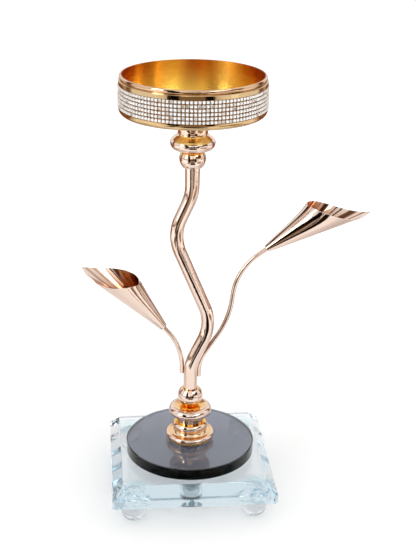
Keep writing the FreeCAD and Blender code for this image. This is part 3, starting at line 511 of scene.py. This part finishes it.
def octagon(inset, height):
    """The block's outline at a height: a square with cut corners. Points are spread along each edge in equal
    steps from one corner to the next."""
    half = BASE_SIDE / 2 - inset
    inner = half - BASE_CORNER
    corners = np.array([(half, -inner), (half, inner), (inner, half), (-inner, half),
                        (-half, inner), (-half, -inner), (-inner, -half), (inner, -half)])
    counts = [EDGE_STEPS, CORNER_STEPS] * 4
    edge = np.repeat(np.arange(len(corners)), counts)
    share = np.concatenate([np.arange(count) / count for count in counts])[:, None]
    points = corners[edge] + (np.roll(corners, -1, axis=0) - corners)[edge] * share
    return np.column_stack([points, np.full(len(points), height)])


def ring_about_axis(radius, height):
    """A circle whose points stand at the same angles as the block's outline."""
    across = octagon(0.0, height)[:, :2]
    across *= radius / np.linalg.norm(across, axis=1, keepdims=True)
    return np.column_stack([across, np.full(len(across), height)])


def loft(rings, smooth_spans):
    """Quads between rings of equal length, the last ring joined to the first. Spans named by their first
    ring are shaded smooth."""
    count, size = len(rings), len(rings[0])
    low = np.arange(count)[:, None] * size
    high = np.roll(low, -1, axis=0)
    here = np.arange(size)
    after = np.roll(here, -1)
    faces = np.stack([low + here, low + after, high + after, high + here], axis=-1).reshape(-1, 4)
    smooth = np.repeat(np.isin(np.arange(count), smooth_spans), size)
    return np.concatenate(rings), faces.tolist(), smooth


def crystal_block(material):
    """The block with eased edges, a profile of outlines and circles carried up its outside, in over the top and
    down the bore. A film of air above and below it lets its faces mirror inside."""
    low, high, ease = BASE_BOTTOM + AIR_FILM, BASE_TOP - AIR_FILM, EDGE_EASE
    slope = BASE_BEVEL_INSET / (BASE_TOP - BASE_WALL_TOP)
    rings = [
        octagon(ease, low), octagon(0.0, low + ease), octagon(0.0, BASE_WALL_TOP - ease),
        octagon(ease * slope, BASE_WALL_TOP + ease), octagon(BASE_BEVEL_INSET - ease * slope, BASE_TOP - ease),
        octagon(BASE_BEVEL_INSET + ease, high), ring_about_axis(GLASS_BORE_RADIUS + ease, high),
        ring_about_axis(GLASS_BORE_RADIUS, high - ease), ring_about_axis(GLASS_BORE_RADIUS, COUNTERBORE_TOP),
        ring_about_axis(COUNTERBORE_RADIUS, COUNTERBORE_TOP), ring_about_axis(COUNTERBORE_RADIUS, low + ease),
        ring_about_axis(COUNTERBORE_RADIUS + ease, low)]
    # The bore, the counterbore and the eased edges at their ends are round.
    points, faces, smooth = loft(rings, (6, 7, 9, 10))
    block = mesh_piece("crystal_block", points, faces, material, smooth)
    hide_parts("crystal_base")


def stage_mesh(name, points, faces, material, hidden=False):
    """A floor or studio card; a hidden one is seen by reflections alone."""
    mesh = bpy.data.meshes.new(name)
    mesh.from_pydata(points, [], faces)
    mesh.materials.append(material)
    thing = bpy.data.objects.new(name, mesh)
    bpy.context.scene.collection.objects.link(thing)
    if hidden:
        for ray in ("camera", "diffuse", "transmission", "shadow", "volume_scatter"):
            setattr(thing, f"visible_{ray}", False)
    return thing


def stage_material(name):
    """A material for the studio, whose surface is still to be made."""
    material, node, shader, coords = new_material(name)
    material.node_tree.nodes.remove(shader)
    return material, node, coords


def rectangle(width, height):
    """The corners of a flat rectangle round its own centre."""
    x, y = width / 2, height / 2
    return [(-x, -y, 0), (x, -y, 0), (x, y, 0), (-x, y, 0)]


def seen_rays(node):
    """1 for light that the camera sees straight, in a mirror or through glass."""
    rays = node("LightPath").node.outputs
    through = node("Math", [rays["Is Glossy Ray"], rays["Is Transmission Ray"]], operation="MAXIMUM")
    return node("Math", [rays["Is Camera Ray"], through], operation="MAXIMUM")


def pale_floor():
    """A matt pale floor that keeps the shadow and glows a little away from the object, up to white."""
    material, node, coords = stage_material("pale_floor")
    away, _ = radius_and_height(node, coords)
    raised = node("MapRange", {"Value": away, "From Min": GLOW_NEAR, "From Max": GLOW_FAR, "To Min": GLOW_LOW,
                               "To Max": GLOW_HIGH})
    lift = node("Emission", {"Strength": node("Math", [seen_rays(node), raised], operation="MULTIPLY")})
    matt = node("BsdfDiffuse", {"Color": linear("#F6F6F6")})
    feed(material.node_tree.nodes["Material Output"], {"Surface": node("AddShader", [matt, lift])})
    stage_mesh("floor", rectangle(2 * FLOOR_HALF, 2 * FLOOR_HALF), [(0, 1, 2, 3)], material)


def white_surround():
    """A room that looks white and lights the object a little less than white."""
    world = bpy.data.worlds.new("surround")
    bpy.context.scene.world = world
    world.use_nodes = True
    node = functools.partial(add, world.node_tree)
    strength = node("MapRange", {"Value": seen_rays(node), "To Min": ROOM_LIGHT, "To Max": 1.0})
    feed(world.node_tree.nodes["Background"], {"Color": linear(WHITE), "Strength": strength})


def fading_glow(material, node, fade, colour, fringe, glow):
    """A surface that glows in its colour and fades away through the fringe's colour. Light that has passed into
    glass sees it in the glass's own pale teal."""
    tone = node("Mix", {0: fade, 6: linear(colour), 7: linear(fringe)}, out=2, data_type="RGBA")
    in_glass = node("Math", [node("LightPath", out="Transmission Depth"), 0.5], operation="GREATER_THAN")
    tone = node("Mix", {0: in_glass, 6: tone, 7: linear("#B4DCE8")}, out=2, data_type="RGBA")
    light = node("Emission", {"Color": tone, "Strength": glow})
    surface = node("MixShader", [fade, light, node("BsdfTransparent")])
    feed(material.node_tree.nodes["Material Output"], {"Surface": surface})


def turn_to(thing, centre, towards, front):
    """Puts a card or lamp in its place with its front axis at the point that it faces."""
    thing.location = centre
    thing.rotation_mode = "QUATERNION"
    thing.rotation_quaternion = (Vector(towards) - Vector(centre)).to_track_quat(front, "Y")


def card(name, centre, size, towards, colour, solid, fringe=WARM_FRINGE, glow=1.0):
    """A studio card that only reflections see: plain out to a share of its half size, then fading away."""
    material, node, coords = stage_material(name)
    x, y, _ = node("SeparateXYZ", [coords]).node.outputs
    shares = [node("Math", [part, side / 2], operation="DIVIDE") for part, side in zip((x, y), size)]
    outwards = [node("Math", [share], operation="ABSOLUTE") for share in shares]
    edge = node("Math", outwards, operation="MAXIMUM")
    fade = node("MapRange", {"Value": edge, "From Min": solid, "From Max": 1.0}, interpolation_type="SMOOTHSTEP")
    fading_glow(material, node, fade, colour, fringe, glow)
    thing = stage_mesh(name, rectangle(*size), [(0, 1, 2, 3)], material, hidden=True)
    turn_to(thing, centre, towards, "Z")


def horizon(name, radius, height, colour):
    """The low dark line all round between table and wall, seen only by reflections: a short open drum that fades
    away upwards."""
    material, node, coords = stage_material(name)
    _, _, up = node("SeparateXYZ", [coords]).node.outputs
    fade = node("MapRange", {"Value": up, "From Min": 0.0, "From Max": height}, interpolation_type="SMOOTHSTEP")
    fading_glow(material, node, fade, colour, WARM_FRINGE, 1.0)
    ring = circle(radius, HORIZON_SIDES)
    points = np.vstack([np.column_stack([ring, np.full(HORIZON_SIDES, z)]) for z in (0.0, height)])
    here = np.arange(HORIZON_SIDES)
    after = np.roll(here, -1)
    faces = np.column_stack([here, after, HORIZON_SIDES + after, HORIZON_SIDES + here])
    stage_mesh(name, points.tolist(), faces.tolist(), material, hidden=True)


def lamp(name, centre, size, towards, watts, mirrored):
    """A soft box: a flat lamp that polish may or may not mirror."""
    data = bpy.data.lights.new(name, "AREA")
    data.shape = "RECTANGLE"
    data.size, data.size_y = size
    data.energy = watts
    thing = bpy.data.objects.new(name, data)
    bpy.context.scene.collection.objects.link(thing)
    turn_to(thing, centre, towards, "-Z")
    thing.visible_glossy = mirrored


def aim_camera():
    """The photograph's viewpoint: turned about the upright axis, tilted down and rolled about the line of sight."""
    turn, tilt, roll = (math.radians(angle) for angle in CAMERA_TURNS)
    ahead = Vector((math.sin(turn) * math.cos(tilt), math.cos(turn) * math.cos(tilt), -math.sin(tilt)))
    right = Vector((math.cos(turn), -math.sin(turn), 0.0))
    up = right.cross(ahead)
    across = right * math.cos(roll) + up * math.sin(roll)
    above = up * math.cos(roll) - right * math.sin(roll)
    data = bpy.data.cameras.new("camera")
    data.sensor_fit = "AUTO"
    data.sensor_width = SENSOR_WIDTH
    data.lens = FOCAL_PIXELS / LONG_SIDE_PIXELS * SENSOR_WIDTH
    camera = bpy.data.objects.new("camera", data)
    bpy.context.scene.collection.objects.link(camera)
    place = Matrix.Translation(Vector(CAMERA_PLACE) * MM)
    camera.matrix_world = place @ Matrix((across, above, -ahead)).transposed().to_4x4()
    bpy.context.scene.camera = camera


# The second colour of each rose gold is painted shade in its hollows: dark brown in the creases of tube and
# branches, orange in the turned coves and spools, brown-orange inside the callas.
dress(rose_gold("rose_gold_plate", "#B87A44", 5.0, 0.15, 0.75), "wavy_tube", "left_branch", "right_branch")
dress(rose_gold("rose_gold_turned", "#F4BC5C", 16.0, 0.3, 1.0),
      "turned_foot", "turned_collar", "lower_knob", "upper_knob")
dress(rose_gold("rose_gold_spool", "#F6AE4C", 20.0, 0.38, 1.0), "saucer", "cup_neck")
dress(rose_gold("rose_gold_petal", "#AE7040", 34.0, 0.3, 1.0), "left_calla", "right_calla")
dress(hoop_gold(), "band_hoop")
dress(bowl_gold(), "cup_bowl")
dress(clear_glass("ball_glass", "#CFCFD4", 36.0, haze=0.12, ripple=0.12),
      "ball_foot_front_left", "ball_foot_front_right", "ball_foot_rear_left", "ball_foot_rear_right")
dress(clear_glass("smoked_glass", "#2E4680", 132.0, GLASS_BORE_RADIUS + EDGE_EASE, rim=DISC_RADIUS, bend=1.9),
      "smoked_disc")
dress(soft_pvc(), "base_gasket", "foot_gasket")
dress(zinc_steel("zinc_steel", "#E8EAEC", "#D2D5D8", 0.85), "cup_screw", "cup_washer", "lower_plug", "upper_plug")
# Painted light: the clamp screw and washer are near white so the shaded hole in the block reads pale.
dress(zinc_steel("white_zinc_steel", "#FCFCFC", "#F4F5F6", 0.1), "clamp_screw", "clamp_washer")
STRIP_GOLD = mesh_gold()
dress(STRIP_GOLD, "stone_mesh")
crystal_block(clear_glass("clear_crystal", "#B2D3E0", 5.5, COUNTERBORE_RADIUS + EDGE_EASE, glued=True))
stone_band(stone_glass(), STRIP_GOLD)

pale_floor()
white_surround()
for row in CARDS:
    card(*row)
horizon("horizon", 2.2, 0.3, "#8A6A4C")
for row in LAMPS:
    lamp(*row)
aim_camera()

bpy.context.scene.view_settings.view_transform = "Standard"
bpy.context.scene.cycles.max_bounces = MOST_BOUNCES
bpy.context.scene.cycles.glossy_bounces = MIRROR_BOUNCES
bpy.context.scene.cycles.transmission_bounces = GLASS_BOUNCES
